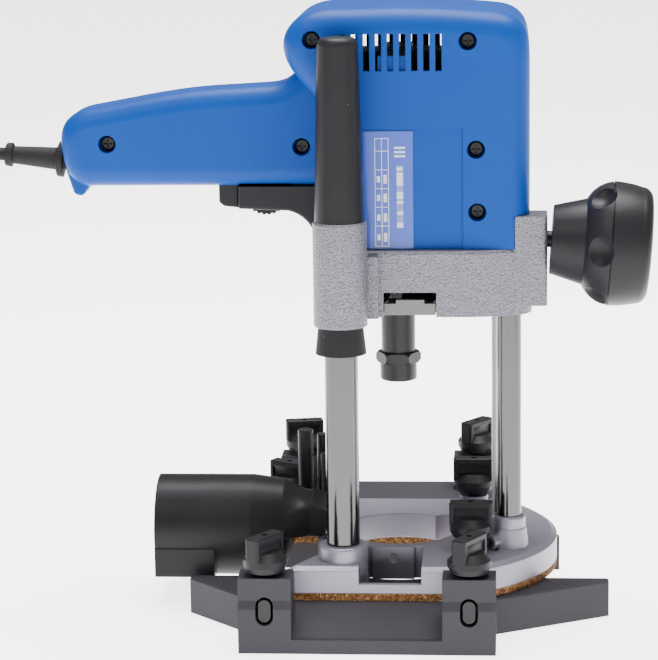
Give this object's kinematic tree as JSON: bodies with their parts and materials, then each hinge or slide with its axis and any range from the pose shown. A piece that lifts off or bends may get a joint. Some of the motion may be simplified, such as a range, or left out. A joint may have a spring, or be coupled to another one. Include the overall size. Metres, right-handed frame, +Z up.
{
  "type": "plunge router",
  "caption": "Plunge router: motor carriage with a pistol handle on two columns over an open base with cork sole, sliding shoes, dust spout, lock knob and lead.",
  "frame": {"origin": "middle of the footprint (the box of the object without its lead), on the surface that the shoes stand on", "axes": "+X from the handle towards the plunge lock knob, +Y away from the user, +Z up along the spindle and columns"},
  "size_m": [0.4647, 0.2578, 0.299],
  "materials": {
    "casting_alloy": "cast, silver painted",
    "cork": "pressed cork",
    "chromed_steel": "ground and chromed",
    "plain_steel": "plain",
    "black_steel": "blackened",
    "shoe_plastic": "grey-black moulded",
    "black_plastic": "satin black moulded",
    "blue_plastic": "satin blue moulded",
    "hammer_paint": "hammertone grey",
    "label_film": "printed film",
    "bronze": "sintered bronze",
    "copper": "enamelled copper wire",
    "electrical_steel": "stacked laminations",
    "carbon": "graphite",
    "rubber": "moulded rubber",
    "lock_plate": "zinc plated"
  },
  "bodies": {
    "base": {"base_casting": "casting_alloy", "cork_sole": "cork", "near_column": "chromed_steel", "far_column": "chromed_steel", "depth_scale_rod": "plain_steel", "column_set_screw": "plain_steel", "guide_bar_left": "black_steel", "guide_bar_right": "black_steel", "dust_spout": "black_plastic", "spout_screws": "plain_steel", "turret_pin": "plain_steel", "cord_tube": "rubber", "cord_coil": "rubber", "cord_tie": "black_plastic", "plug_body": "rubber", "plug_pins": "plain_steel"},
    "turret": {"depth_turret": "black_plastic"},
    "front_shoe": {"front_shoe": "shoe_plastic"},
    "rear_shoe": {"rear_shoe": "shoe_plastic"},
    "carriage": {"carriage_casting": "hammer_paint", "near_bushes": "bronze", "far_bush": "bronze", "column_gaiter": "rubber", "spring_cap": "black_plastic", "column_spring": "plain_steel", "housing_front": "blue_plastic", "housing_rear": "blue_plastic", "housing_screws": "black_steel", "rating_label": "label_film", "stator_core": "electrical_steel", "stator_coils": "copper", "brush_holders": "bronze", "carbon_brushes": "carbon", "lower_bearing": "plain_steel", "upper_bearing": "plain_steel", "trigger_spring": "plain_steel", "switch_body": "black_plastic", "speed_board": "black_plastic", "trigger_surround": "black_plastic", "cord_boot": "rubber", "cord_clamp": "black_plastic"},
    "spindle": {"spindle_shaft": "black_steel", "armature_core": "electrical_steel", "commutator": "copper", "cooling_fan": "black_plastic", "collet": "plain_steel", "collet_nut": "black_steel"},
    "trigger": {"trigger": "black_plastic"},
    "speed_wheel": {"speed_wheel": "black_plastic"},
    "lock_knob": {"lock_knob": "black_plastic", "lock_stud": "black_steel"},
    "spindle_lock": {"spindle_lock_plate": "lock_plate", "lock_plate_spring": "plain_steel"},
    "wing_knob_front_left": {"wing_knob_front_left": "black_plastic"},
    "wing_knob_front_right": {"wing_knob_front_right": "black_plastic"},
    "wing_knob_rear_left": {"wing_knob_rear_left": "black_plastic"},
    "wing_knob_rear_right": {"wing_knob_rear_right": "black_plastic"},
    "wing_knob_plate_front": {"wing_knob_plate_front": "black_plastic"},
    "wing_knob_plate_rear": {"wing_knob_plate_rear": "black_plastic"},
    "wing_knob_plate_left": {"wing_knob_plate_left": "black_plastic"}
  },
  "joints": [
    {"name": "plunge", "type": "slide", "parent": "base", "child": "carriage", "axis": [0, 0, -1], "range_m": [0, 0.052], "stiffness_N_per_m": 700, "springref_m": -0.085, "deforming": ["column_spring"]},
    {"name": "front_shoe_slide", "type": "slide", "parent": "base", "child": "front_shoe", "axis": [0, -1, 0], "range_m": [0, 0.01]},
    {"name": "rear_shoe_slide", "type": "slide", "parent": "base", "child": "rear_shoe", "axis": [0, 1, 0], "range_m": [0, 0.01]},
    {"name": "turret_turn", "type": "hinge", "parent": "base", "child": "turret", "pos_m": [-0.00803, 0.00654, 0.0346], "axis": [0, 0, 1], "continuous": true},
    {"name": "spindle_spin", "type": "hinge", "parent": "carriage", "child": "spindle", "pos_m": [0.03527, -0.02996, 0.2], "axis": [0, 0, 1], "continuous": true},
    {"name": "trigger_press", "type": "slide", "parent": "carriage", "child": "trigger", "axis": [0, 0, 1], "range_m": [0, 0.005], "stiffness_N_per_m": 800, "springref_m": -0.002, "deforming": ["trigger_spring"]},
    {"name": "speed_wheel_turn", "type": "hinge", "parent": "carriage", "child": "speed_wheel", "pos_m": [-0.02903, -0.02996, 0.2075], "axis": [0, 1, 0], "range_deg": [-140, 140]},
    {"name": "plunge_lock_turn", "type": "hinge", "parent": "carriage", "child": "lock_knob", "pos_m": [0.11067, -0.05996, 0.1872], "axis": [0.9973, 0, -0.0732], "range_deg": [-180, 20]},
    {"name": "spindle_lock_press", "type": "slide", "parent": "carriage", "child": "spindle_lock", "axis": [0, 1, 0], "range_m": [0, 0.004], "stiffness_N_per_m": 600, "springref_m": -0.002},
    {"name": "wing_front_left_turn", "type": "hinge", "parent": "front_shoe", "child": "wing_knob_front_left", "pos_m": [-0.02473, -0.11846, 0.05], "axis": [0, 0, 1], "range_deg": [-180, 180]},
    {"name": "wing_front_right_turn", "type": "hinge", "parent": "front_shoe", "child": "wing_knob_front_right", "pos_m": [0.07177, -0.11846, 0.05], "axis": [0, 0, 1], "range_deg": [-180, 180]},
    {"name": "wing_rear_left_turn", "type": "hinge", "parent": "rear_shoe", "child": "wing_knob_rear_left", "pos_m": [-0.02473, 0.11854, 0.05], "axis": [0, 0, 1], "range_deg": [-180, 180]},
    {"name": "wing_rear_right_turn", "type": "hinge", "parent": "rear_shoe", "child": "wing_knob_rear_right", "pos_m": [0.07177, 0.11854, 0.05], "axis": [0, 0, 1], "range_deg": [-180, 180]},
    {"name": "wing_plate_front_turn", "type": "hinge", "parent": "base", "child": "wing_knob_plate_front", "pos_m": [0.07177, -0.06996, 0.05], "axis": [0, 0, 1], "range_deg": [-180, 180]},
    {"name": "wing_plate_rear_turn", "type": "hinge", "parent": "base", "child": "wing_knob_plate_rear", "pos_m": [0.07177, 0.01704, 0.05], "axis": [0, 0, 1], "range_deg": [-180, 180]},
    {"name": "wing_plate_left_turn", "type": "hinge", "parent": "base", "child": "wing_knob_plate_left", "pos_m": [-0.02473, 0.02204, 0.05], "axis": [0, 0, 1], "range_deg": [-180, 180]}
  ]
}
